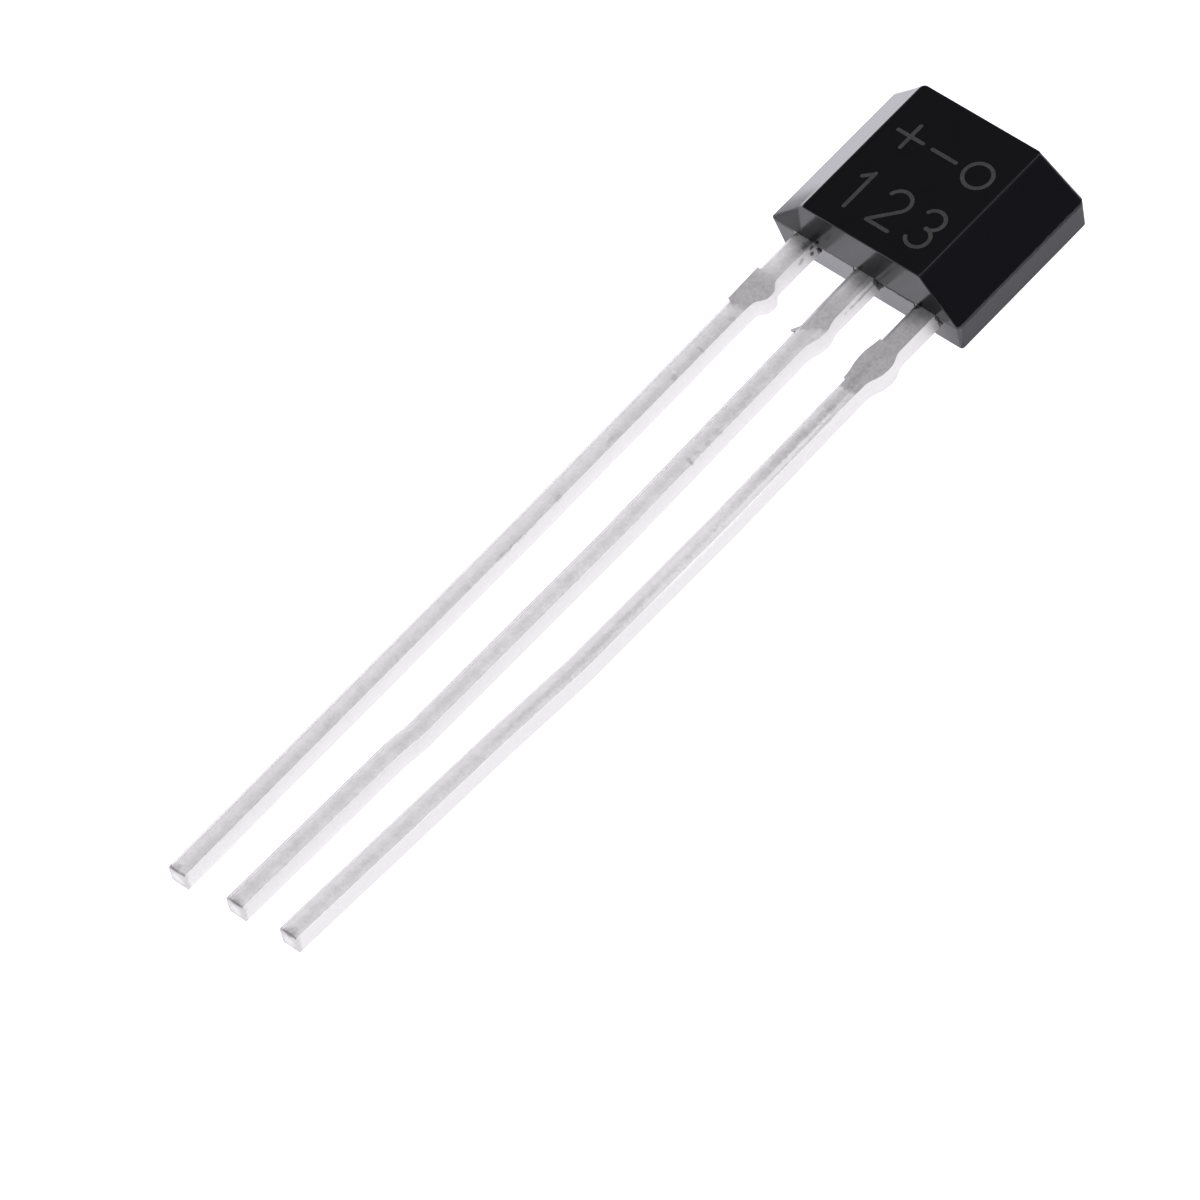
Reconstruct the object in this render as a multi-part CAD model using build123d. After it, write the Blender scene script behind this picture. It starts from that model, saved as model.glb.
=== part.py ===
from build123d import *
from dataclasses import dataclass
import math
import os

os.makedirs("parts", exist_ok=True)

# Three-lead Hall effect sensor in a flat moulded package, lying on its back. Millimetres.
# X runs across the leads, Y from the lead tips towards the body, Z out of the sensing face.
# The origin is the centre of the back face.

# ---- Driving dimensions ----------------------------------------------------------------------
# Moulded package: width and length are those of the parting plane, where the block is widest.
BODY_WIDTH = 3.92
BODY_LENGTH = 3.12
BACK_DEPTH = 0.68            # back face to parting plane
FRONT_DEPTH = 0.745          # parting plane to sensing face
BEVEL_WIDTH = 0.73           # what each long bevel takes off the sensing face
FRONT_END_DRAFT = 0.062      # lean of each end over the front depth
BACK_NEAR_DRAFT = 0.066      # lean of the lead end over the back depth; the far end is upright
BACK_SIDE_DRAFT = 0.080      # lean of each side over the back depth
FAR_CORNER_RADIUS = 0.13     # upright corners away from the leads, at the parting plane
NEAR_CORNER_RADIUS = 0.06    # upright corners at the lead end, at the parting plane
FACE_FAR_RADIUS = 0.10       # corners of the sensing face away from the leads
FACE_CORNER_RADIUS = 0.06    # the sensing face's other corners, and the back face's
MOULD_EDGE_RADIUS = 0.03     # edges around those two faces

# Lead frame: one stamped sheet whose upper face lies in the parting plane.
SHEET_THICKNESS = 0.37
LEAD_PITCH = 1.27
LEAD_WIDTH = 0.38
NECK_WIDTH = 0.42            # between the package and the stub of the dam bar
STUB_RISE = 0.20             # sloping shoulder of a stub, on the package's side
STUB_FALL = 0.32             # sloping shoulder of a stub, on the tip's side
TIP_ROLLOVER = 0.04          # upper edge of a lead's tip, rolled by the shear
BEND_RADIUS = 2.0            # of the leads' handling bends


@dataclass
class Lead:
    """A lead outside the package. Distances along it are measured from the package end."""

    x: float
    length: float
    rollover: float          # upper left edge, rolled by the stamping
    stub_start: float        # the stub is what the cut of the dam bar left
    stub_length: float
    stub_left: float         # half-width of the stub on each side
    stub_right: float
    square_stub: bool        # the cut took the rolled edge away too
    bends: list              # handling bends: distance, and sideways shift off the straight line
    tip_shift: float


LEADS = {
    "lead_left": Lead(
        x=-LEAD_PITCH,
        length=14.79,
        rollover=0.11,
        stub_start=0.88,
        stub_length=0.74,
        stub_left=0.200,
        stub_right=0.320,
        square_stub=True,
        bends=[(6.4, 0.040)],
        tip_shift=0.040,
    ),
    "lead_middle": Lead(
        x=0,
        length=14.69,
        rollover=0.11,
        stub_start=0.95,
        stub_length=0.78,
        stub_left=0.200,
        stub_right=0.262,
        square_stub=False,
        bends=[(6.1, 0.060), (10.7, 0.030), (11.1, -0.025)],
        tip_shift=-0.100,
    ),
    "lead_right": Lead(
        x=LEAD_PITCH,
        length=14.62,
        rollover=0.09,
        stub_start=0.85,
        stub_length=0.90,
        stub_left=0.240,
        stub_right=0.276,
        square_stub=True,
        bends=[(5.0, 0.030), (8.3, 0.0), (10.0, -0.105)],
        tip_shift=-0.305,
    ),
}

# Inner ends of the lead frame.
PADDLE_WIDTH = 1.50          # die paddle on the middle lead
PADDLE_LENGTH = 1.40
PADDLE_COVER = 0.50          # package end to paddle, at the end away from the leads
FINGER_WIDTH = 0.58          # bonding fingers on the outer leads
FINGER_LENGTH = 0.85
FINGER_COVER = 1.25          # package end to finger, at the end away from the leads
PAD_CORNER_RADIUS = 0.08
PAD_SHOULDER_RADIUS = 0.03   # corners of a pad beside its neck

# Chip on the paddle and its wires.
DIE_WIDTH = 0.95
DIE_LENGTH = 0.85
DIE_THICKNESS = 0.20
ATTACH_THICKNESS = 0.03
ATTACH_MARGIN = 0.05         # adhesive squeezed out around the chip
PAD_INSET = 0.12             # bonding pads, from the chip's edges
BALL_DIAMETER = 0.09
BALL_HEIGHT = 0.03
WIRE_DIAMETER = 0.038
WIRE_SIDES = 8               # the fine round wire is drawn with flat sides
LOOP_RISE = 0.16             # ball to the top of the wire loop
LOOP_RADIUS = 0.07
LOOP_LEVEL = 0.33            # share of a wire's span over which its loop stays level
WIRE_LANDING = 0.12          # wire's foot past the near edge of what it is bonded to

# ---- Levels and places worked out from them --------------------------------------------------
PARTING = BACK_DEPTH
SENSING_FACE = BACK_DEPTH + FRONT_DEPTH
LEAD_END = -BODY_LENGTH / 2              # package end that the leads leave
FAR_END = BODY_LENGTH / 2
SHEET_UNDERSIDE = PARTING - SHEET_THICKNESS
PADDLE_FAR = FAR_END - PADDLE_COVER
PADDLE_NEAR = PADDLE_FAR - PADDLE_LENGTH
FINGER_FAR = FAR_END - FINGER_COVER
FINGER_NEAR = FINGER_FAR - FINGER_LENGTH
DIE_Y = (PADDLE_FAR + PADDLE_NEAR) / 2
DIE_UNDERSIDE = PARTING + ATTACH_THICKNESS
DIE_TOP = DIE_UNDERSIDE + DIE_THICKNESS
TOUCHING = 0.001             # nearer than this, an edge is on a line


# ---- Moulded package -------------------------------------------------------------------------
def block_outline(width, near_y, far_y, near_radius, far_radius, height):
    """Level outline of the block, with its own corner radii at the lead end and the far end."""
    x = width / 2
    corners = [(-x, near_y), (x, near_y), (x, far_y), (-x, far_y)]
    radii = [near_radius, near_radius, far_radius, far_radius]
    return Pos(0, 0, height) * make_face(FilletPolyline(*corners, radius=radii, close=True))


def solid_block():
    """The whole moulding before the room for its inserts is taken out."""
    widest = block_outline(
        BODY_WIDTH, LEAD_END, FAR_END, NEAR_CORNER_RADIUS, FAR_CORNER_RADIUS, PARTING
    )
    back = block_outline(
        BODY_WIDTH - 2 * BACK_SIDE_DRAFT,
        LEAD_END + BACK_NEAR_DRAFT,
        FAR_END,
        FACE_CORNER_RADIUS,
        FACE_CORNER_RADIUS,
        0,
    )
    front = block_outline(
        BODY_WIDTH - 2 * BEVEL_WIDTH,
        LEAD_END + FRONT_END_DRAFT,
        FAR_END - FRONT_END_DRAFT,
        FACE_CORNER_RADIUS,
        FACE_FAR_RADIUS,
        SENSING_FACE,
    )
    block = loft([back, widest], ruled=True) + loft([widest, front], ruled=True)
    block = fillet(block.faces().sort_by(Axis.Z)[-1].edges(), MOULD_EDGE_RADIUS)
    return fillet(block.faces().sort_by(Axis.Z)[0].edges(), MOULD_EDGE_RADIUS)


# ---- Lead frame ------------------------------------------------------------------------------
def sheet(outline):
    """Stamp an outline out of the sheet."""
    return extrude(Pos(0, 0, SHEET_UNDERSIDE) * outline, SHEET_THICKNESS)


def lead_edge(lead, hand, stub):
    """Plan of a lead's left (hand -1) or right (hand 1) edge, bulging at its stub."""
    full_end = lead.stub_start + lead.stub_length - STUB_FALL
    stub_end = lead.stub_start + lead.stub_length

    def corner(distance, half, shift=0.0):
        return Vector(lead.x + shift + hand * half, LEAD_END - distance)

    root = corner(0, NECK_WIDTH / 2)
    start = corner(lead.stub_start, NECK_WIDTH / 2)
    full = [corner(lead.stub_start + STUB_RISE, stub), corner(full_end, stub)]
    end = corner(stub_end, LEAD_WIDTH / 2)
    runs = [corner(distance, LEAD_WIDTH / 2, shift) for distance, shift in lead.bends]
    tip = corner(lead.length, LEAD_WIDTH / 2, lead.tip_shift)
    neck = Line(root, start)
    bulge = Spline([start, *full, end], tangents=[neck % 1, (runs[0] - end).normalized()])
    return neck + bulge + FilletPolyline(end, *runs, tip, radius=BEND_RADIUS)


def outer_lead(lead):
    """The part of a lead outside the package, with its stub and its rolled edges."""
    left = lead_edge(lead, -1, lead.stub_left)
    right = lead_edge(lead, 1, lead.stub_right)
    ends = Line(left @ 0, right @ 0) + Line(left @ 1, right @ 1)
    square = sheet(make_face(left + right + ends))
    upper = square.faces().sort_by(Axis.Z)[-1]
    upper_left = Pos(0, 0, PARTING) * left
    rolled = [edge for edge in upper.edges() if upper_left.distance_to(edge @ 0.5) < TOUCHING]
    rounded = fillet(rolled, lead.rollover)
    upper = rounded.faces().sort_by(Axis.Z)[-1]
    rounded = fillet(upper.edges().sort_by(Axis.Y)[0], TIP_ROLLOVER)
    if lead.square_stub:
        middle_y = LEAD_END - lead.stub_start - lead.stub_length / 2
        cut = Pos(lead.x, middle_y, PARTING) * Box(LEAD_PITCH, lead.stub_length, SHEET_THICKNESS * 2)
        rounded = rounded + (square & cut)
    return rounded


def inner_end(x, width, near, far):
    """The part of a lead inside the package: its neck and a wider pad, a paddle or a finger."""
    neck = NECK_WIDTH / 2
    pad = width / 2
    corners = [
        (x - neck, LEAD_END),
        (x + neck, LEAD_END),
        (x + neck, near),
        (x + pad, near),
        (x + pad, far),
        (x - pad, far),
        (x - pad, near),
        (x - neck, near),
    ]
    shoulder = PAD_SHOULDER_RADIUS
    corner = PAD_CORNER_RADIUS
    radii = [0, 0, 0, shoulder, corner, corner, shoulder, 0]
    return sheet(make_face(FilletPolyline(*corners, radius=radii, close=True)))


def make_lead(lead):
    """A whole lead: the middle one carries the paddle, the outer ones a finger each."""
    if lead.x == 0:
        inner = inner_end(lead.x, PADDLE_WIDTH, PADDLE_NEAR, PADDLE_FAR)
    else:
        inner = inner_end(lead.x, FINGER_WIDTH, FINGER_NEAR, FINGER_FAR)
    return outer_lead(lead) + inner


# ---- Chip and wires --------------------------------------------------------------------------
def slab(width, length, thickness, underside):
    """A flat block on the die's centre, standing on a level."""
    return Pos(0, DIE_Y, underside + thickness / 2) * Box(width, length, thickness)


def bond_wire(pad_x, pad_y, foot_x, foot_y):
    """A ball on the chip's pad and a wire that loops up and over, down to the lead frame."""
    loop_base = DIE_TOP + BALL_HEIGHT
    loop_top = loop_base + LOOP_RISE
    run = math.hypot(foot_x - pad_x, foot_y - pad_y)
    along = Vector((foot_x - pad_x) / run, (foot_y - pad_y) / run, 0)
    start = Vector(pad_x, pad_y, loop_base)
    crest = Vector(pad_x, pad_y, loop_top)
    shoulder = crest + along * (run * LOOP_LEVEL)
    foot = Vector(foot_x, foot_y, PARTING)
    path = FilletPolyline(start, crest, shoulder, foot, radius=LOOP_RADIUS)
    section = Plane(origin=start, z_dir=(0, 0, 1)) * RegularPolygon(WIRE_DIAMETER / 2, WIRE_SIDES)
    ball = Pos(pad_x, pad_y, DIE_TOP + BALL_HEIGHT / 2) * Cylinder(BALL_DIAMETER / 2, BALL_HEIGHT)
    wire = ball + sweep(section, path=path)
    room = 2 * WIRE_LANDING
    below = Pos(foot_x, foot_y, PARTING - WIRE_DIAMETER) * Box(room, room, 2 * WIRE_DIAMETER)
    return wire - below


def make_wires():
    pad_x = DIE_WIDTH / 2 - PAD_INSET
    pad_y = DIE_Y - DIE_LENGTH / 2 + PAD_INSET
    finger_x = LEAD_PITCH - FINGER_WIDTH / 2 + WIRE_LANDING
    finger_y = (FINGER_NEAR + FINGER_FAR) / 2
    return {
        "bond_wire_left": bond_wire(-pad_x, pad_y, -finger_x, finger_y),
        "bond_wire_middle": bond_wire(0, pad_y, 0, PADDLE_NEAR + WIRE_LANDING),
        "bond_wire_right": bond_wire(pad_x, pad_y, finger_x, finger_y),
    }


# ---- Assembly --------------------------------------------------------------------------------
inserts = {name: make_lead(lead) for name, lead in LEADS.items()}
attach_width = DIE_WIDTH + 2 * ATTACH_MARGIN
attach_length = DIE_LENGTH + 2 * ATTACH_MARGIN
inserts["die_attach"] = slab(attach_width, attach_length, ATTACH_THICKNESS, PARTING)
inserts["hall_die"] = slab(DIE_WIDTH, DIE_LENGTH, DIE_THICKNESS, DIE_UNDERSIDE)
inserts.update(make_wires())

package_body = solid_block()
for insert in inserts.values():
    package_body = package_body - insert

export_step(package_body, "parts/package_body.step")
for name, shape in inserts.items():
    export_step(shape, f"parts/{name}.step")
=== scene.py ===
"""Looks of a three-lead Hall effect sensor: black moulded package, tinned leads, marking and stage.

Every size is in metres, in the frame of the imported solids: X across the leads, Y from the lead
tips to the package, Z out of the sensing face.
"""

import math
import random
from dataclasses import dataclass

import bmesh
import bpy
from bpy.props import FloatProperty, FloatVectorProperty, PointerProperty
from bpy.types import Operator, Panel, PropertyGroup
from mathutils import Matrix, Vector, noise


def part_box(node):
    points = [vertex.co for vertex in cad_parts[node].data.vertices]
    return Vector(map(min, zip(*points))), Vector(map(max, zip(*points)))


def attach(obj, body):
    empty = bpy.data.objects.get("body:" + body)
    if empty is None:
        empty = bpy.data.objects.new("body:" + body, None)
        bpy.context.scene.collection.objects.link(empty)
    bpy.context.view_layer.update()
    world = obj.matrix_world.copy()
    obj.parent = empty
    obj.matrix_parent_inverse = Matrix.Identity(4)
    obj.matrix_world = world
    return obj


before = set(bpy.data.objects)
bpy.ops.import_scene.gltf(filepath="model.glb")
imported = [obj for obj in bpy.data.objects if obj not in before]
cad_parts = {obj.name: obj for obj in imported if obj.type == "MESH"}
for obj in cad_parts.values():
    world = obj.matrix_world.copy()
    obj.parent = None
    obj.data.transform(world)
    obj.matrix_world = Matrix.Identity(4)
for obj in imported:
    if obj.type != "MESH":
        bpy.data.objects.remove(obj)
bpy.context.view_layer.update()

bl_info = {
    "name": "Hall effect sensor looks",
    "version": (1, 0, 0),
    "blender": (4, 5, 0),
    "location": "3D View > Sidebar > Hall sensor",
    "description": "Finishes, marking and stage for a flat three-lead Hall effect sensor",
    "category": "Object",
}

MM = 0.001
MICRON = 0.000001
UP = Vector((0, 0, 1))
WIRES = ("bond_wire_left", "bond_wire_middle", "bond_wire_right")

# ---- Places read from the solids -------------------------------------------------------------
BODY_LOW, BODY_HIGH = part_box("package_body")
LEAD_LOW, LEAD_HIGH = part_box("lead_middle")
LEAD_END = BODY_LOW.y
PARTING = LEAD_HIGH.z
SENSING_FACE = BODY_HIGH.z
BACK_FACE = BODY_LOW.z
FLAT_EDGE = 1.23 * MM            # crease between the sensing face and each long bevel


# ---- Shader maths ----------------------------------------------------------------------------
class Value:
    """A socket of a material that can be used in Python sums."""

    def __init__(self, look, socket):
        self.look = look
        self.socket = socket

    def _math(self, operation, first, second=None):
        inputs = {0: first} if second is None else {0: first, 1: second}
        return self.look.node("ShaderNodeMath", {"operation": operation}, inputs)[0]

    def __add__(self, other):
        return self._math("ADD", self, other)

    def __radd__(self, other):
        return self._math("ADD", other, self)

    def __sub__(self, other):
        return self._math("SUBTRACT", self, other)

    def __rsub__(self, other):
        return self._math("SUBTRACT", other, self)

    def __mul__(self, other):
        return self._math("MULTIPLY", self, other)

    def __rmul__(self, other):
        return self._math("MULTIPLY", other, self)

    def __abs__(self):
        return self._math("ABSOLUTE", self)

    def at_most(self, other):
        return self._math("MINIMUM", self, other)

    def at_least(self, other):
        return self._math("MAXIMUM", self, other)


class Look:
    """A material under construction."""

    def __init__(self, name, **uniform):
        self.material = bpy.data.materials.new(name)
        self.material.use_nodes = True
        self.tree = self.material.node_tree
        self.shader = self.tree.nodes["Principled BSDF"]
        for socket, value in uniform.items():
            self.shader.inputs[socket.replace("_", " ")].default_value = value

    def node(self, kind, settings=None, inputs=None):
        """Add a node, set it up, fill or link its sockets and give back its live outputs."""
        node = self.tree.nodes.new(kind)
        for name, value in (settings or {}).items():
            setattr(node, name, value)
        for key, value in (inputs or {}).items():
            if isinstance(key, int):
                socket = node.inputs[key]
            else:
                socket = next(s for s in node.inputs if s.name == key and s.enabled)
            self.feed(socket, value)
        return [Value(self, s) for s in node.outputs if s.enabled]

    def feed(self, socket, value):
        """Link a live value to a socket, or set a plain one on it."""
        if isinstance(value, Value):
            self.tree.links.new(value.socket, socket)
        else:
            socket.default_value = value

    def place(self):
        """Where on the object a point is: its position, and its three coordinates."""
        position = self.node("ShaderNodeTexCoord")[3]
        x, y, z = self.node("ShaderNodeSeparateXYZ", None, {0: position})
        return position, x, y, z

    def noise(self, position, size, detail=2.0, stretch=(1, 1, 1)):
        """Cloudy noise from 0 to 1 whose lumps are about one size across."""
        settings = {"vector_type": "POINT"}
        inputs = {"Vector": position, "Scale": [s / size for s in stretch]}
        scaled = self.node("ShaderNodeMapping", settings, inputs)[0]
        inputs = {"Vector": scaled, "Scale": 1.0, "Detail": detail}
        return self.node("ShaderNodeTexNoise", None, inputs)[0]

    def ramp(self, value, low, high):
        """0 below low, 1 above high and a smooth rise between. It falls where low is above high."""
        settings = {"interpolation_type": "SMOOTHSTEP"}
        if low > high:
            return 1 - self.ramp(value, high, low)
        inputs = {"Value": value, "From Min": low, "From Max": high}
        return self.node("ShaderNodeMapRange", settings, inputs)[0]

    def blend(self, share, first, second):
        """Colour that goes from the first to the second as share goes from 0 to 1."""
        settings = {"data_type": "RGBA"}
        inputs = {"Factor": share, "A": rgba(first), "B": rgba(second)}
        return self.node("ShaderNodeMix", settings, inputs)[0]

    def band(self, value, low, high, fade):
        """1 between low and high, and 0 a fade outside them."""
        return self.ramp(value, low - fade, low) * self.ramp(value, high + fade, high)

    def bump(self, height, depth, normal=None):
        """Normal of a surface raised by a height from 0 to 1 times a depth."""
        inputs = {"Height": height, "Distance": depth}
        if normal is not None:
            inputs["Normal"] = normal
        return self.node("ShaderNodeBump", None, inputs)[0]

    def finish(self, **varying):
        """Feed the shader's sockets and give back the material."""
        for socket, value in varying.items():
            self.feed(self.shader.inputs[socket.replace("_", " ")], value)
        return self.material


def rgba(colour):
    """Four channels for a colour socket. A live colour passes unchanged."""
    if isinstance(colour, Value):
        return colour
    return (*colour[:3], 1.0)


def toned(colour, share):
    """A colour made darker, or paler where the share is above 1."""
    return [channel * share for channel in colour]


def dress(node, material):
    """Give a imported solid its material."""
    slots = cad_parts[node].data.materials
    slots.clear()
    slots.append(material)


def add_piece(name, shape, material):
    """Make an object of a bmesh, in its material, that rides with the part."""
    bmesh.ops.recalc_face_normals(shape, faces=shape.faces)
    mesh = bpy.data.meshes.new(name)
    shape.to_mesh(mesh)
    shape.free()
    mesh.materials.append(material)
    piece = bpy.data.objects.new(name, mesh)
    bpy.context.scene.collection.objects.link(piece)
    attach(piece, "root")
    return piece


# ---- Settings --------------------------------------------------------------------------------
class PackageSettings(PropertyGroup):
    colour: FloatVectorProperty(
        name="Compound colour",
        description="Black epoxy moulding compound",
        subtype="COLOR",
        size=3,
        default=(0.0046, 0.0044, 0.0060),
        min=0,
        max=1,
    )
    roughness: FloatProperty(
        name="Compound roughness",
        description="Gloss that the polished mould leaves",
        subtype="FACTOR",
        default=0.12,
        min=0,
        max=1,
    )


class MarkingSettings(PropertyGroup):
    colour: FloatVectorProperty(
        name="Marking colour",
        description="Grey that the laser leaves on the compound",
        subtype="COLOR",
        size=3,
        default=(0.038, 0.0372, 0.0345),
        min=0,
        max=1,
    )
    stroke: FloatProperty(
        name="Stroke width",
        description="Width of the laser's line",
        unit="LENGTH",
        default=0.069 * MM,
    )
    height: FloatProperty(
        name="Letter height",
        description="Height of a figure or a sign",
        unit="LENGTH",
        default=0.78 * MM,
    )


class LeadSettings(PropertyGroup):
    colour: FloatVectorProperty(
        name="Tin colour",
        description="Tin plating on the leads",
        subtype="COLOR",
        size=3,
        default=(0.72, 0.712, 0.69),
        min=0,
        max=1,
    )
    roughness: FloatProperty(
        name="Tin roughness",
        description="Satin gloss of the plating",
        subtype="FACTOR",
        default=0.46,
        min=0,
        max=1,
    )


class StageSettings(PropertyGroup):
    azimuth: FloatProperty(
        name="Camera azimuth",
        description="0 looks along +Y, 90 along -X",
        subtype="ANGLE",
        default=math.radians(54.11),
    )
    elevation: FloatProperty(
        name="Camera elevation",
        description="Height above the horizon",
        subtype="ANGLE",
        default=math.radians(52.88),
    )
    roll: FloatProperty(
        name="Camera roll",
        description="Turn of the picture about the line of sight",
        subtype="ANGLE",
        default=math.radians(-15.4),
    )
    distance: FloatProperty(
        name="Camera distance",
        description="Lens to the point that it looks at",
        unit="LENGTH",
        default=139.7 * MM,
    )
    lens: FloatProperty(
        name="Focal length",
        description="Long lens for a small object, in millimetres on a 36 mm sensor",
        default=271.5,
    )
    floor_colour: FloatVectorProperty(
        name="Floor colour",
        description="Plain white top of a light table",
        subtype="COLOR",
        size=3,
        default=(0.40, 0.40, 0.40),
        min=0,
        max=1,
    )
    floor_glow: FloatProperty(
        name="Floor glow",
        description="Light that the table itself gives",
        default=1.22,
        min=0,
    )


# ---- Package ---------------------------------------------------------------------------------
def parting_seam(look, z, wander):
    """1 in the ragged seam that the mould left at the parting plane, 0 above and below it."""
    below = (PARTING - z) * (1 / MICRON)
    upper = look.ramp(below + wander * 30, 6, 14)
    return upper * look.ramp(below - wander * 70, 26, 12)


def dull_areas(look, x, y, back_half):
    """Roughness that wear adds: on the right of the back half, and on the left near the leads."""
    right = back_half * look.ramp(x, 0.9 * MM, 1.9 * MM) * 0.45
    left = look.ramp(y, -0.7 * MM, -1.5 * MM) * 0.31
    left = left + look.ramp(y, LEAD_END + 60 * MICRON, LEAD_END + 50 * MICRON) * 0.12
    return right + left * look.ramp(x, -1.25 * MM, -1.35 * MM)


def lead_end_gloss(look, x, y, back_half):
    """Strength of the resin skin below the parting plane, where the leads come out."""
    end = look.ramp(y, LEAD_END + 80 * MICRON, LEAD_END + 70 * MICRON)
    left = look.ramp(x, 0.3 * MM, 0.1 * MM)
    right = look.ramp(x, 1.3 * MM, 1.6 * MM)
    return back_half * end * (0.10 + 0.26 * left + 0.20 * right)


def compound_material(settings):
    """Black epoxy from a polished mould: glossy, with a faint grain, dull along its creases. Its
    colour also carries a painted sheen: paler on the right bevel and along the creases.
    """
    look = Look("epoxy_compound", IOR=1.47, Coat_Roughness=0.12)
    position, x, y, z = look.place()
    grain = look.noise(position, 22 * MICRON, 3)
    cloud = look.noise(position, 0.35 * MM, 2)
    back_half = look.ramp(z, PARTING, PARTING - 5 * MICRON)
    crease = look.band(abs(x), FLAT_EDGE - 13 * MICRON, FLAT_EDGE + 8 * MICRON, 4 * MICRON)
    crease = crease * look.ramp(z, SENSING_FACE - 20 * MICRON, SENSING_FACE - 14 * MICRON)
    # Painted sheen: a band along the right crease, painted paler.
    crease_sheen = look.band(x, FLAT_EDGE - 15 * MICRON, FLAT_EDGE + 10 * MICRON, 35 * MICRON)
    bevel = look.ramp(x, FLAT_EDGE + 12 * MICRON, FLAT_EDGE + 30 * MICRON)
    seam = parting_seam(look, z, look.noise(position, 90 * MICRON, 3))

    matt = dull_areas(look, x, y, back_half).at_least(crease * 0.48).at_least(seam * 0.62)
    # Painted sheen: the right bevel and the right crease band are painted paler, over the
    # compound's own cloudy tone.
    pale = cloud * 0.1 + bevel * 0.13 + crease_sheen * (0.10 + cloud * 0.45)
    polished = look.blend(pale, settings.colour, toned(settings.colour, 4))
    normal = look.bump(1 - seam, 22 * MICRON)
    # Painted highlight: the creases are painted paler as well as rougher.
    return look.finish(
        Base_Color=look.blend(crease, polished, toned(settings.colour, 1.8)),
        Roughness=settings.roughness + 0.04 * cloud + matt,
        Normal=look.bump(grain, 0.4 * MICRON, normal=normal),
        Coat_Weight=lead_end_gloss(look, x, y, back_half),
    )


class HALL_OT_package(Operator):
    """Give the moulded package its black compound"""

    bl_idname = "hall.package"
    bl_label = "Dress the package"

    def execute(self, context):
        dress("package_body", compound_material(context.scene.hall_package))
        return {"FINISHED"}


# ---- Marking ---------------------------------------------------------------------------------
MARKING_SUNK = 3 * MICRON
MARKING_PROUD = 2 * MICRON
LAYER = 0.2 * MICRON             # keeps bars that cross from sharing a surface
COLUMNS = (-0.70 * MM, 0, 0.70 * MM)
PIN_ROW = -1.11 * MM             # feet of the row nearer the leads
SIGN_ROW = 0.16 * MM             # feet of the other row
ARC_STEP = 15                    # degrees


@dataclass
class Stroke:
    """A line of the laser, in letter heights and degrees. A move goes straight for a distance, or,
    where it has a turn, round a bend of that radius. A turn to the left is positive."""

    start: tuple
    heading: float           # from +X
    moves: tuple             # pairs of a distance or radius and a turn


FIGURES = {
    "one": (Stroke((0.03, 0), 90, ((1, 0),)), Stroke((-0.16, 0.80), 43, ((0.26, 0),))),
    "two": (
        Stroke((-0.26, 0.79), 75, ((0.27, -207), (0.70, 0))),
        Stroke((-0.27, 0), 0, ((0.56, 0),)),
    ),
    "three": (
        Stroke((-0.227, 0.851), 65, ((0.25, -245),)),
        Stroke((0, 0.51), 0, ((0.26, -240),)),
    ),
    "plus": (Stroke((-0.33, 0.5), 0, ((0.66, 0),)), Stroke((0, 0.17), 90, ((0.66, 0),))),
    "minus": (Stroke((-0.31, 0.5), 0, ((0.62, 0),)),),
    "ring": (Stroke((0.32, 0.5), 90, ((0.32, 360),)),),
}
ROWS = {PIN_ROW: ("one", "two", "three"), SIGN_ROW: ("plus", "minus", "ring")}


def add_round_end(shape, point, half, low, high):
    """The spot that the laser leaves where a line starts or stops."""
    bmesh.ops.create_cone(
        shape,
        cap_ends=True,
        segments=20,
        radius1=half,
        radius2=half,
        depth=high - low,
        matrix=Matrix.Translation((point.x, point.y, (low + high) / 2)),
    )


def add_stroke(shape, stroke, foot, settings, low, high):
    """Sweep a flat bar along a stroke. Its ends stay open, for holes_fill to close."""
    point = foot + Vector((*stroke.start, 0)) * settings.height
    heading = math.radians(stroke.heading)
    half = settings.stroke / 2
    left = Vector((-math.sin(heading), math.cos(heading), 0))
    corners = ((half, low), (half, high), (-half, high), (-half, low))
    section = [shape.verts.new(point + left * reach + UP * z) for reach, z in corners]
    section += [shape.edges.new((section[i - 1], section[i])) for i in range(4)]
    closed = abs(stroke.moves[0][1]) == 360
    if not closed:
        add_round_end(shape, point, half, low, high - LAYER / 2)
    for distance, turn in stroke.moves:
        distance *= settings.height
        ahead = Vector((math.cos(heading), math.sin(heading), 0))
        left = Vector((-ahead.y, ahead.x, 0))
        centre = point + left * math.copysign(distance, turn)
        swing = Matrix.Rotation(math.radians(turn), 3, "Z")
        swept = bmesh.ops.spin(
            shape,
            geom=section,
            cent=centre,
            axis=UP,
            dvec=(0, 0, 0) if turn else ahead * distance,
            angle=math.radians(turn),
            steps=max(1, math.ceil(abs(turn) / ARC_STEP)),
            use_merge=closed,
        )
        section = swept["geom_last"]
        point = centre + swing @ (point - centre) if turn else point + ahead * distance
        heading += math.radians(turn)
    if not closed:
        add_round_end(shape, point, half, low, high - LAYER / 2)


def marking_material(settings):
    """Laser marking: matt grey, patchy where the beam's spots met."""
    look = Look("laser_marking", Roughness=0.7, IOR=1.58)
    position = look.place()[0]
    spots = look.noise(position, 40 * MICRON, 2)
    patch = look.noise(position, 0.25 * MM, 2)
    share = look.ramp(spots * 0.5 + patch * 0.5, 0.36, 0.60)
    colour = look.blend(share, toned(settings.colour, 0.45), settings.colour)
    return look.finish(Base_Color=colour, Normal=look.bump(spots, 2 * MICRON))


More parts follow.
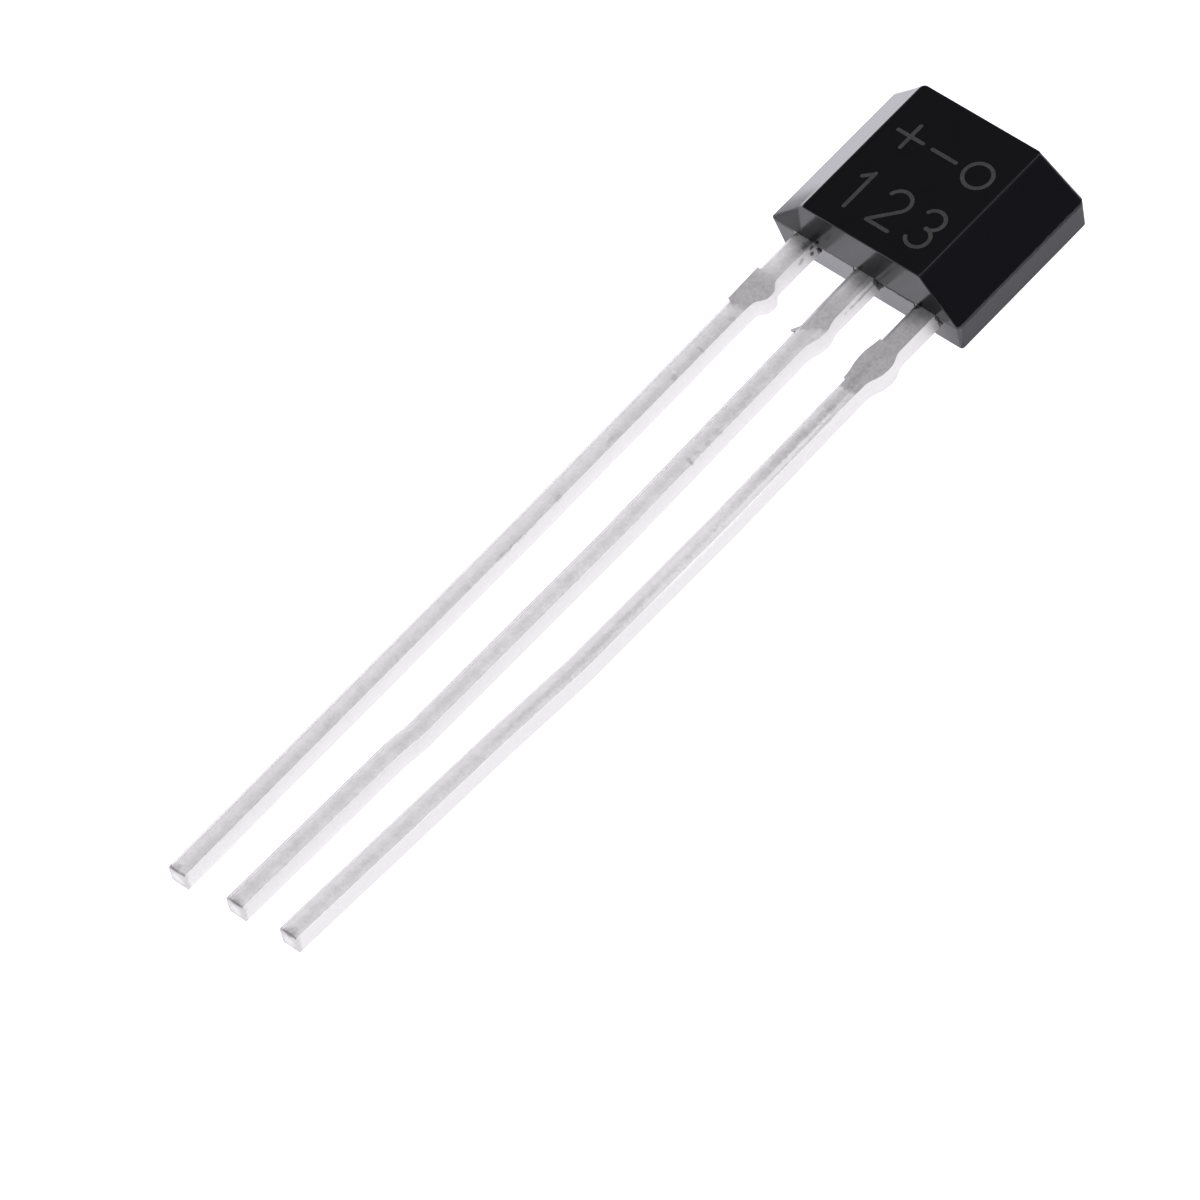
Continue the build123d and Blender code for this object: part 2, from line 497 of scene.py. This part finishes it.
class HALL_OT_marking(Operator):
    """Mark the sensing face with plain pin numbers and signs"""

    bl_idname = "hall.marking"
    bl_label = "Mark the sensing face"

    def execute(self, context):
        settings = context.scene.hall_marking
        shape = bmesh.new()
        low = SENSING_FACE - MARKING_SUNK
        high = SENSING_FACE + MARKING_PROUD
        for row, names in ROWS.items():
            for column, name in zip(COLUMNS, names):
                for stroke in FIGURES[name]:
                    add_stroke(shape, stroke, Vector((column, row, 0)), settings, low, high)
                    high += LAYER
        bmesh.ops.holes_fill(shape, edges=[e for e in shape.edges if e.is_boundary], sides=4)
        add_piece("marking", shape, marking_material(settings))
        return {"FINISHED"}


# ---- Resin flash -----------------------------------------------------------------------------
@dataclass
class Lump:
    """A bit of resin that bled out of the mould. Millimetres, from the lead end and the parting."""

    x: float
    out: float
    down: float
    size: tuple              # half-sizes


FLASH = (
    Lump(0.232, 0.012, 0.08, (0.034, 0.030, 0.070)),
    Lump(0.262, 0.008, 0.17, (0.048, 0.026, 0.060)),
    Lump(0.330, 0.000, 0.10, (0.060, 0.010, 0.030)),
    Lump(-1.052, 0.075, 0.06, (0.016, 0.040, 0.030)),
    Lump(-1.050, 0.100, 0.20, (0.012, 0.034, 0.036)),
    Lump(-0.982, 0.004, 0.16, (0.046, 0.020, 0.048)),
    Lump(1.500, 0.006, 0.07, (0.028, 0.020, 0.060)),
    Lump(1.548, 0.002, 0.15, (0.050, 0.014, 0.034)),
    Lump(-0.228, 0.004, 0.20, (0.030, 0.018, 0.170)),
    Lump(1.042, 0.004, 0.18, (0.030, 0.018, 0.150)),
)
DRAFT = 0.066                    # how far the end of the back half leans in for each metre down
UNEVEN = 0.38                    # share of its size that a lump swells or shrinks by


def add_lump(shape, lump, rng):
    """An uneven closed bead, set on the back half of the lead end."""
    y = LEAD_END + (lump.down * DRAFT - lump.out) * MM
    centre = Vector((lump.x * MM, y, PARTING - lump.down * MM))
    shift = Vector([rng.uniform(-9, 9) for _ in range(3)])
    bead = bmesh.ops.create_icosphere(shape, subdivisions=3, radius=1)
    for vert in bead["verts"]:
        swell = 1 + UNEVEN * noise.noise(vert.co * 1.9 + shift)
        vert.co = centre + Vector([c * h * MM * swell for c, h in zip(vert.co, lump.size)])


def resin_material():
    """Dull resin, grey where it is thin: on the left lead."""
    look = Look("resin_flash", Roughness=0.9, IOR=1.45)
    position, x, y, z = look.place()
    grain = look.noise(position, 15 * MICRON, 3)
    thin = look.ramp(x, -0.97 * MM, -1.03 * MM)
    dark = look.blend(thin, (0.040, 0.039, 0.042), (0.16, 0.158, 0.16))
    pale = look.blend(thin, (0.150, 0.147, 0.150), (0.36, 0.354, 0.36))
    colour = look.blend(grain, dark, pale)
    return look.finish(Base_Color=colour, Normal=look.bump(grain, 4 * MICRON))


class HALL_OT_flash(Operator):
    """Add the specks of resin flash where the leads leave the package"""

    bl_idname = "hall.flash"
    bl_label = "Add the resin flash"

    def execute(self, context):
        rng = random.Random(4)
        shape = bmesh.new()
        for lump in FLASH:
            add_lump(shape, lump, rng)
        add_piece("resin_flash", shape, resin_material())
        return {"FINISHED"}


# ---- Leads -----------------------------------------------------------------------------------
@dataclass
class ScuffOrShade:
    """A soft-edged scuff on a lead, also used for painted shade, in millimetres from the lead's own
    line, from the package end and from the upper face down. Its shade is how much darker it is
    than the tin around it, or lighter where it is below 0."""

    across: float
    along: float
    half_sizes: tuple        # across and along
    shade: float
    down: float = 0.0
    half_depth: float = 0.06


@dataclass
class LeadFinish:
    """How one lead is worn, in millimetres. Its rub is the patch of the upper face that the cutter
    of the dam bar rubbed dull."""

    centre: float            # where it leaves the package
    line: tuple              # where its middle runs: pairs of a distance and a sideways shift
    rub_start: float
    rub_full: float
    rub_end: float
    rub_slant: float
    rub_shade: float
    grey_line: float         # how far across its darkest lengthwise line lies
    scuffs: tuple


FINISHES = {
    "lead_left": LeadFinish(
        centre=-1.27,
        line=((1.62, 0.0), (6.4, 0.040), (14.79, 0.040)),
        rub_start=0.6,
        rub_full=1.1,
        rub_end=1.68,
        rub_slant=0.2,
        rub_shade=0.27,
        grey_line=0.14,
        scuffs=(
            ScuffOrShade(0.14, 1.89, (0.04, 0.06), 0.09),
            ScuffOrShade(0.12, 2.64, (0.08, 0.03), 0.17),
            ScuffOrShade(0.06, 3.22, (0.04, 0.03), -0.20),
            ScuffOrShade(0.13, 3.30, (0.05, 0.04), 0.09),
            ScuffOrShade(0.10, 4.80, (0.03, 0.10), 0.11),
            ScuffOrShade(0.15, 6.10, (0.04, 0.06), 0.15),
            ScuffOrShade(0.17, 6.90, (0.02, 0.35), 0.09),
            ScuffOrShade(0.17, 7.40, (0.03, 0.14), 0.13),
            ScuffOrShade(-0.05, 14.73, (0.09, 0.07), 0.24),
            ScuffOrShade(0.20, 0.33, (0.03, 0.06), 0.28, down=0.14, half_depth=0.05),
            ScuffOrShade(0.15, 0.10, (0.06, 0.14), 0.40),
        ),
    ),
    "lead_middle": LeadFinish(
        centre=0.0,
        line=((1.73, 0.0), (6.1, 0.060), (10.7, 0.030), (11.1, -0.025), (14.69, -0.100)),
        rub_start=0.3,
        rub_full=0.9,
        rub_end=1.364,
        rub_slant=0.533,
        rub_shade=0.22,
        grey_line=0.02,
        scuffs=(
            ScuffOrShade(0.10, 3.05, (0.05, 0.18), 0.10),
            ScuffOrShade(0.12, 3.70, (0.06, 0.06), 0.11),
            ScuffOrShade(0.14, 3.95, (0.04, 0.04), 0.17),
            ScuffOrShade(0.12, 4.20, (0.05, 0.05), 0.14),
            ScuffOrShade(0.13, 4.37, (0.07, 0.04), 0.32),
            ScuffOrShade(0.02, 14.63, (0.10, 0.08), 0.18),
            ScuffOrShade(0.20, 0.34, (0.03, 0.34), 0.30, down=0.12, half_depth=0.035),
            ScuffOrShade(0.10, 0.20, (0.02, 0.20), 0.15),
        ),
    ),
    "lead_right": LeadFinish(
        centre=1.27,
        line=((1.75, 0.0), (5.0, 0.030), (8.3, 0.0), (10.0, -0.105), (14.62, -0.305)),
        rub_start=-0.2,
        rub_full=-0.1,
        rub_end=1.90,
        rub_slant=0.1,
        rub_shade=0.27,
        grey_line=0.03,
        scuffs=(
            ScuffOrShade(0.00, 3.20, (0.08, 1.60), 0.14),
            ScuffOrShade(0.11, 3.60, (0.03, 1.25), -0.26),
            ScuffOrShade(0.06, 2.35, (0.05, 0.08), 0.10),
            ScuffOrShade(0.10, 5.79, (0.05, 0.06), 0.12),
            ScuffOrShade(0.05, 7.60, (0.05, 2.00), 0.09),
            ScuffOrShade(0.10, 5.20, (0.14, 1.60), -0.10),
            ScuffOrShade(0.03, 14.56, (0.10, 0.08), 0.22),
        ),
    ),
}


def root_shade_and_tip_tone(finish):
    """Patches that every lead has: painted shade on its upper left edge where it meets the package,
    and on its cut end a darker rim round a paler middle.
    """
    tip = finish.line[-1][0]
    return (
        # Painted shade where the upper left edge meets the package.
        ScuffOrShade(-0.17, 0.0, (0.07, 0.10), 0.45, down=0.05, half_depth=0.09),
        ScuffOrShade(0.0, tip, (0.50, 0.06), 0.15, down=0.20, half_depth=0.60),
        ScuffOrShade(0.0, tip, (0.10, 0.03), -0.15, down=0.21, half_depth=0.10),
    )


def sideways(finish, distance):
    """How far the lead's own line has shifted at a distance along it."""
    shift = 0.0
    for (start, before), (end, after) in zip(finish.line, finish.line[1:]):
        run = (distance - start).at_least(0).at_most(end - start)
        shift = run * ((after - before) / (end - start)) + shift
    return shift


def rubbed(look, finish, across, along):
    """1 on the patch of the upper face that the dam bar's cutter rubbed."""
    start = look.ramp(along, finish.rub_start, finish.rub_full)
    edge = along + across * finish.rub_slant
    return start * look.ramp(edge, finish.rub_end + 0.07, finish.rub_end - 0.05)


def scuff_or_shade(look, tone_patch, across, along, down, ragged):
    """1 inside a patch, scuff and painted shade alike, fading to 0 around it."""
    width, length = tone_patch.half_sizes
    u = (across - tone_patch.across) * (1 / width)
    v = (along - tone_patch.along) * (1 / length)
    w = (down - tone_patch.down) * (1 / tone_patch.half_depth)
    return look.ramp(u * u + v * v + w * w + ragged, 2.2, 0.1)


def tin_material(settings, name, finish):
    """Tin plating over the stamped sheet: satin, mottled, with fine lengthwise marks. Its colour
    also carries painted light: a lighter upper face, a painted highlight on the rolled left edge
    and painted shade towards the package.
    """
    look = Look("tin_plating_" + name, Metallic=1.0)
    position, x, y, z = look.place()
    grain = look.noise(position, 18 * MICRON, 3)
    streaks = look.noise(position, 20 * MICRON, 2, stretch=(1, 0.06, 1))
    blotch = look.noise(position, 60 * MICRON, 3)
    cloud = look.noise(position, 0.25 * MM, 3)
    wander = look.noise(position, 0.12 * MM, 2) - 0.5
    ragged = (look.noise(position, 70 * MICRON, 1) - 0.5) * 3

    distance = (LEAD_END - y) * (1 / MM)
    across = (x - finish.centre * MM) * (1 / MM) - sideways(finish, distance) + wander * 0.06
    along = distance + wander * 0.12
    down = (PARTING - z) * (1 / MM)
    top = look.ramp(down, 0.012, 0.002)

    rub = rubbed(look, finish, across, along)
    # Painted shade: the upper face darkens towards the package, most at its root.
    package_shade = look.ramp(along, 7.0, 0.5) * 0.14 + look.ramp(along, 0.7, 0.1) * 0.09
    shade = top * (rub * finish.rub_shade + package_shade)
    for tone_patch in finish.scuffs + root_shade_and_tip_tone(finish):
        shade = shade + scuff_or_shade(look, tone_patch, across, along, down, ragged) * tone_patch.shade
    # Painted highlight along the rolled left edge of the upper face.
    edge_highlight = look.ramp(across, 0.10, -0.18) * 0.16
    grey = look.ramp(abs(across - finish.grey_line), 0.15, 0.0) * 0.09
    mottle = (blotch - 0.5) * 0.30 + (cloud - 0.5) * 0.14 + (streaks - 0.5) * 0.12
    # The upper face is painted lighter than the sides, as light falls on it.
    level = 0.64 + top * (0.27 + (edge_highlight - grey) * (1 - rub)) - shade
    level = level + mottle * (top * 0.7 + 0.3)
    return look.finish(
        Base_Color=look.blend(level, toned(settings.colour, 0.14), toned(settings.colour, 1.38)),
        Roughness=settings.roughness + 0.10 * cloud + 0.10 * rub * top,
        Normal=look.bump(grain + streaks, 0.45 * MICRON),
    )


BURR_TOP = PARTING - 0.015 * MM
BURR_THICKNESS = 0.03 * MM
BURR_ROOT = -0.13 * MM           # inside the middle lead
BURR_TIP = -0.235 * MM


def add_burr():
    """The thin spur that the cutter pushed out of the middle lead's left edge."""
    shape = bmesh.new()
    blunt = BURR_TIP + 0.015 * MM
    outline = ((BURR_ROOT, 1.33), (BURR_TIP, 1.50), (blunt, 1.53), (BURR_ROOT, 1.48))
    low = BURR_TOP - BURR_THICKNESS
    flat = shape.faces.new([shape.verts.new((x, LEAD_END - run * MM, low)) for x, run in outline])
    grown = bmesh.ops.extrude_face_region(shape, geom=[flat])["geom"]
    top = [v for v in grown if isinstance(v, bmesh.types.BMVert)]
    bmesh.ops.translate(shape, verts=top, vec=UP * BURR_THICKNESS)
    look = Look("sheared_metal", Metallic=1.0)
    tear = look.noise(look.place()[0], 20 * MICRON, 3)
    colour = look.blend(tear, (0.52, 0.51, 0.51), (0.88, 0.87, 0.86))
    look.finish(Base_Color=colour, Roughness=0.6 + 0.2 * tear, Normal=look.bump(tear, 2 * MICRON))
    add_piece("shear_burr", shape, look.material)


class HALL_OT_leads(Operator):
    """Give the three leads their tin plating"""

    bl_idname = "hall.leads"
    bl_label = "Dress the leads"

    def execute(self, context):
        settings = context.scene.hall_leads
        for node, finish in FINISHES.items():
            dress(node, tin_material(settings, node, finish))
        add_burr()
        return {"FINISHED"}


# ---- Chip and wires --------------------------------------------------------------------------
def cloudy_material(name, metallic, size, colours, roughness):
    """A metal whose colour and gloss drift a little between two values each."""
    look = Look(name, Metallic=metallic)
    cloud = look.noise(look.place()[0], size, 2)
    smooth, rough = roughness
    colour = look.blend(cloud, *colours)
    return look.finish(Base_Color=colour, Roughness=smooth + (rough - smooth) * cloud)


class HALL_OT_chip(Operator):
    """Give the chip, its adhesive and its wires their materials"""

    bl_idname = "hall.chip"
    bl_label = "Dress the chip"

    def execute(self, context):
        greys = ((0.10, 0.11, 0.14), (0.2, 0.19, 0.24))
        dress("hall_die", cloudy_material("silicon", 0.6, 60 * MICRON, greys, (0.1, 0.2)))
        silvers = ((0.45, 0.45, 0.46), (0.65, 0.65, 0.66))
        paste = cloudy_material("silver_adhesive", 0.7, 12 * MICRON, silvers, (0.4, 0.6))
        dress("die_attach", paste)
        golds = ((0.86, 0.58, 0.2), (0.95, 0.7, 0.32))
        gold = cloudy_material("gold", 1.0, 15 * MICRON, golds, (0.18, 0.30))
        for node in WIRES:
            dress(node, gold)
        return {"FINISHED"}


# ---- Stage -----------------------------------------------------------------------------------
COOL_WHITE = (1, 0.985, 1.06)    # every light and the floor's glow
FLOOR_GAP = 1 * MICRON
FLOOR_HALF = 0.5
LIT_SPOT = Vector((0, LEAD_END * 4, 0))
LOOKED_AT = Vector((0.66 * MM, -8.67 * MM, (PARTING + LEAD_LOW.z) / 2))
WORLD_GLOW = 0.10


def aim(place, target, roll=0.0):
    """Matrix of something that stands at a place and looks at a target."""
    turn = (target - place).to_track_quat("-Z", "Y").to_matrix().to_4x4()
    return Matrix.Translation(place) @ turn @ Matrix.Rotation(roll, 4, "Z")


def direction(azimuth, elevation):
    """From the object towards something at these angles."""
    level = math.cos(elevation)
    return Vector((level * math.sin(azimuth), -level * math.cos(azimuth), math.sin(elevation)))


def soft_light(name, azimuth, elevation, distance, size, power):
    """A flat studio light that faces the object. Its angles are in degrees."""
    light = bpy.data.lights.new(name, "AREA")
    light.shape = "RECTANGLE"
    light.size, light.size_y = size
    light.energy = power
    light.color = COOL_WHITE
    lamp = bpy.data.objects.new(name, light)
    bpy.context.scene.collection.objects.link(lamp)
    place = direction(math.radians(azimuth), math.radians(elevation)) * distance
    lamp.matrix_world = aim(place, LIT_SPOT)


class HALL_OT_stage(Operator):
    """Set out the floor, the lights and the camera"""

    bl_idname = "hall.stage"
    bl_label = "Set the stage"

    def execute(self, context):
        settings = context.scene.hall_stage
        self.floor(settings)
        self.lights()
        self.camera(context.scene, settings)
        context.scene.view_settings.view_transform = "Standard"
        return {"FINISHED"}

    def floor(self, settings):
        """Lay the plain glowing top just under the part."""
        mesh = bpy.data.meshes.new("floor")
        shape = bmesh.new()
        bmesh.ops.create_grid(shape, x_segments=1, y_segments=1, size=FLOOR_HALF)
        bmesh.ops.translate(shape, verts=shape.verts, vec=UP * (BACK_FACE - FLOOR_GAP))
        shape.to_mesh(mesh)
        shape.free()
        floor = bpy.data.objects.new("floor", mesh)
        bpy.context.scene.collection.objects.link(floor)
        look = Look("pale_floor", Roughness=0.9, Emission_Color=rgba(COOL_WHITE))
        look.finish(Base_Color=rgba(settings.floor_colour), Emission_Strength=settings.floor_glow)
        mesh.materials.append(look.material)

    def lights(self):
        """Hang the soft lights and set the world's faint light."""
        soft_light("far_softbox", 180, 64, distance=0.5, size=(0.20, 0.20), power=0.75)
        soft_light("overhead_softbox", 0, 90, distance=0.5, size=(0.20, 0.20), power=0.40)
        soft_light("left_strip", -110, 12, distance=0.6, size=(0.90, 0.35), power=1.7)
        soft_light("front_fill", -30, 20, distance=0.5, size=(0.50, 0.30), power=0.33)
        world = bpy.data.worlds.new("studio")
        bpy.context.scene.world = world
        world.use_nodes = True
        background = world.node_tree.nodes["Background"]
        background.inputs["Color"].default_value = rgba(COOL_WHITE)
        background.inputs["Strength"].default_value = WORLD_GLOW

    def camera(self, scene, settings):
        """Set up the long lens that looks down on the part."""
        camera = bpy.data.cameras.new("camera")
        camera.sensor_width = 36
        camera.lens = settings.lens
        camera.clip_start = 1 * MM
        camera.clip_end = 10
        holder = bpy.data.objects.new("camera", camera)
        scene.collection.objects.link(holder)
        place = LOOKED_AT + direction(settings.azimuth, settings.elevation) * settings.distance
        holder.matrix_world = aim(place, LOOKED_AT, settings.roll)
        scene.camera = holder


# ---- Sidebar and start -----------------------------------------------------------------------
class HALL_PT_sidebar(Panel):
    """One button for each operator"""

    bl_label = "Hall sensor"
    bl_idname = "HALL_PT_sidebar"
    bl_space_type = "VIEW_3D"
    bl_region_type = "UI"
    bl_category = "Hall sensor"

    def draw(self, context):
        for operator in OPERATORS:
            self.layout.operator(operator.bl_idname)


OPERATORS = (
    HALL_OT_package,
    HALL_OT_marking,
    HALL_OT_flash,
    HALL_OT_leads,
    HALL_OT_chip,
    HALL_OT_stage,
)
SETTINGS = {
    "hall_package": PackageSettings,
    "hall_marking": MarkingSettings,
    "hall_leads": LeadSettings,
    "hall_stage": StageSettings,
}
CLASSES = (*SETTINGS.values(), *OPERATORS, HALL_PT_sidebar)


def register():
    for cls in CLASSES:
        bpy.utils.register_class(cls)
    for name, settings in SETTINGS.items():
        setattr(bpy.types.Scene, name, PointerProperty(type=settings))


def unregister():
    for name in SETTINGS:
        delattr(bpy.types.Scene, name)
    for cls in reversed(CLASSES):
        bpy.utils.unregister_class(cls)


def main():
    register()
    for operator in OPERATORS:
        name = operator.bl_idname.split(".")[1]
        getattr(bpy.ops.hall, name)()


if __name__ == "__main__":
    main()
